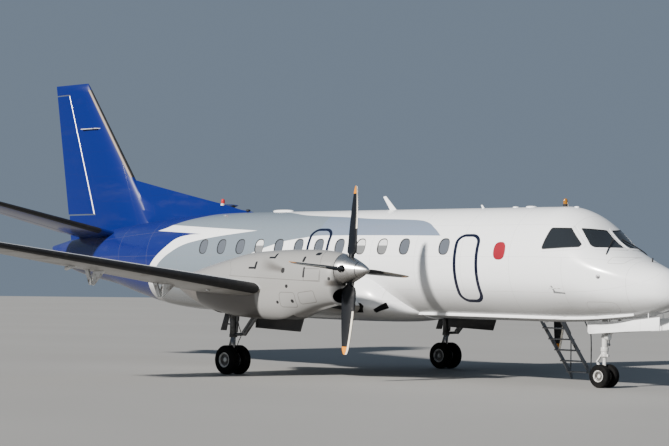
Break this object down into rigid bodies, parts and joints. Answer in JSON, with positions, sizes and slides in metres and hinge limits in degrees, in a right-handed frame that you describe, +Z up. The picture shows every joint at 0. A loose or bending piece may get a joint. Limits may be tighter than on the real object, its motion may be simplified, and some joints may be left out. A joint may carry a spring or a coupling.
{
  "type": "turboprop airliner",
  "caption": "Low-wing twin-turboprop regional airliner parked on retractable tricycle gear, with feathered propellers, flaps up, open door and airstair.",
  "frame": {"origin": "on the ground, below the middle of the length and on the plane of symmetry", "axes": "+X forward to the nose, +Y to port along the span, +Z up"},
  "size_m": [19.73, 21.44, 6.97],
  "materials": {
    "white_paint": "gloss white paint over aluminium skin",
    "blue_paint": "gloss blue paint over aluminium skin",
    "grey_paint": "satin light grey paint over aluminium skin",
    "composite_white": "painted glass-fibre laminate",
    "boot_rubber": "matt black de-icing rubber",
    "fin_boot_rubber": "matt brown-black de-icing rubber",
    "tyre_rubber": "worn black tyre rubber with painted rims",
    "polished_spinner": "polished bare aluminium",
    "blade_composite": "black composite blade with coloured tips",
    "window_glass": "tinted laminated windscreen glass",
    "cockpit_trim": "dark cockpit trim and seat cloth",
    "gear_dark": "oily dark grey gear steel",
    "gear_white": "white painted gear steel",
    "engine_steel": "turbine and gearbox steel",
    "exhaust_steel": "heat-stained exhaust steel",
    "stair_alloy": "grey painted alloy steps",
    "door_dark": "dark sooty alloy door"
  },
  "bodies": {
    "airframe": {"radome": "composite_white", "nose_fuselage": "white_paint", "cabin_fuselage": "white_paint", "aft_fuselage": "blue_paint", "tail_section": "blue_paint", "tail_cone": "blue_paint", "wing_body_fairing": "composite_white", "belly_strake_right": "composite_white", "belly_strake_left": "composite_white", "side_window_right": "window_glass", "side_window_left": "window_glass", "windscreen_right": "window_glass", "windscreen_left": "window_glass", "cockpit_interior": "cockpit_trim", "passenger_door": "white_paint", "airstair": "stair_alloy", "fin": "blue_paint", "fin_boot": "fin_boot_rubber", "roof_antenna": "composite_white", "nose_leg": "gear_white", "nose_door_right": "white_paint", "nose_door_left": "white_paint", "wing_right": "grey_paint", "wing_boot_right": "boot_rubber", "nacelle_right": "grey_paint", "engine_cowl_right": "grey_paint", "engine_right": "engine_steel", "exhaust_right": "exhaust_steel", "main_leg_right": "gear_dark", "main_gear_doors_right": "door_dark", "tailplane_right": "blue_paint", "tail_boot_right": "boot_rubber", "wing_left": "grey_paint", "wing_boot_left": "boot_rubber", "nacelle_left": "grey_paint", "engine_cowl_left": "grey_paint", "engine_left": "engine_steel", "exhaust_left": "exhaust_steel", "main_leg_left": "gear_dark", "main_gear_doors_left": "door_dark", "tailplane_left": "blue_paint", "tail_boot_left": "boot_rubber"},
    "nose_steering": {"nose_fork": "gear_white"},
    "nose_wheel_pair": {"nose_wheels": "tyre_rubber"},
    "rudder_panel": {"rudder": "blue_paint"},
    "main_wheel_pair_right": {"main_wheels_right": "tyre_rubber"},
    "propeller_assembly_right": {"propeller_right": "blade_composite", "spinner_right": "polished_spinner"},
    "flap_inner_panel_right": {"flap_inner_right": "grey_paint"},
    "flap_outer_panel_right": {"flap_outer_right": "grey_paint"},
    "aileron_panel_right": {"aileron_right": "grey_paint"},
    "elevator_panel_right": {"elevator_right": "blue_paint"},
    "main_wheel_pair_left": {"main_wheels_left": "tyre_rubber"},
    "propeller_assembly_left": {"propeller_left": "blade_composite", "spinner_left": "polished_spinner"},
    "flap_inner_panel_left": {"flap_inner_left": "grey_paint"},
    "flap_outer_panel_left": {"flap_outer_left": "grey_paint"},
    "aileron_panel_left": {"aileron_left": "grey_paint"},
    "elevator_panel_left": {"elevator_left": "blue_paint"}
  },
  "joints": [
    {"name": "nose_steer", "type": "hinge", "parent": "airframe", "child": "nose_steering", "pos_m": [8.095, 0, 0.7], "axis": [0, 0, 1], "range_deg": [-60, 60]},
    {"name": "nose_wheels_spin", "type": "hinge", "parent": "nose_steering", "child": "nose_wheel_pair", "pos_m": [8.095, 0, 0.2285], "axis": [0, 1, 0], "continuous": true},
    {"name": "main_wheels_spin_right", "type": "hinge", "parent": "airframe", "child": "main_wheel_pair_right", "pos_m": [0.955, -3.355, 0.305], "axis": [0, 1, 0], "continuous": true},
    {"name": "propeller_spin_right", "type": "hinge", "parent": "airframe", "child": "propeller_assembly_right", "pos_m": [4.37, -3.355, 2.218], "axis": [1, 0, 0], "continuous": true},
    {"name": "main_wheels_spin_left", "type": "hinge", "parent": "airframe", "child": "main_wheel_pair_left", "pos_m": [0.955, 3.355, 0.305], "axis": [0, 1, 0], "continuous": true},
    {"name": "propeller_spin_left", "type": "hinge", "parent": "airframe", "child": "propeller_assembly_left", "pos_m": [4.37, 3.355, 2.218], "axis": [1, 0, 0], "continuous": true},
    {"name": "flap_outer_left_turn", "type": "hinge", "parent": "airframe", "child": "flap_outer_panel_left", "pos_m": [0.72487, 4.02, 1.48561], "axis": [0.0211, 0.9919, 0.1251], "range_deg": [-35, 0]},
    {"name": "flap_inner_left_turn", "type": "hinge", "parent": "airframe", "child": "flap_inner_panel_left", "pos_m": [0.6699, 1.44, 1.1603], "axis": [0.0211, 0.9919, 0.1251], "range_deg": [-35, 0]},
    {"name": "flap_outer_right_turn", "type": "hinge", "parent": "airframe", "child": "flap_outer_panel_right", "pos_m": [0.72487, -4.02, 1.48561], "axis": [-0.0211, 0.9919, -0.1251], "range_deg": [-35, 0]},
    {"name": "flap_inner_right_turn", "type": "hinge", "parent": "airframe", "child": "flap_inner_panel_right", "pos_m": [0.6699, -1.44, 1.1603], "axis": [-0.0211, 0.9919, -0.1251], "range_deg": [-35, 0]},
    {"name": "aileron_left_turn", "type": "hinge", "parent": "airframe", "child": "aileron_panel_left", "pos_m": [0.77136, 7.345, 2.21502], "axis": [0.0228, 0.9921, 0.123], "range_deg": [-20, 20]},
    {"name": "aileron_right_turn", "type": "hinge", "parent": "airframe", "child": "aileron_panel_right", "pos_m": [0.77136, -7.345, 2.21502], "axis": [-0.0228, 0.9921, -0.123], "range_deg": [-20, 20]},
    {"name": "elevator_left_turn", "type": "hinge", "parent": "airframe", "child": "elevator_panel_left", "pos_m": [-8.16733, 0.64, 3.12212], "axis": [-0.0887, 0.9724, 0.2156], "range_deg": [-15, 25]},
    {"name": "elevator_right_turn", "type": "hinge", "parent": "airframe", "child": "elevator_panel_right", "pos_m": [-8.16733, -0.64, 3.12212], "axis": [0.0887, 0.9724, -0.2156], "range_deg": [-15, 25]},
    {"name": "rudder_turn", "type": "hinge", "parent": "airframe", "child": "rudder_panel", "pos_m": [-8.07545, 0, 3.6], "axis": [-0.3593, 0, 0.9332], "range_deg": [-25, 25]}
  ],
  "couplings": [
    {"joint": "flap_inner_left_turn", "follows": "flap_outer_left_turn", "ratio": 1},
    {"joint": "flap_outer_right_turn", "follows": "flap_outer_left_turn", "ratio": 1},
    {"joint": "flap_inner_right_turn", "follows": "flap_outer_left_turn", "ratio": 1},
    {"joint": "aileron_right_turn", "follows": "aileron_left_turn", "ratio": -1},
    {"joint": "elevator_right_turn", "follows": "elevator_left_turn", "ratio": 1}
  ]
}
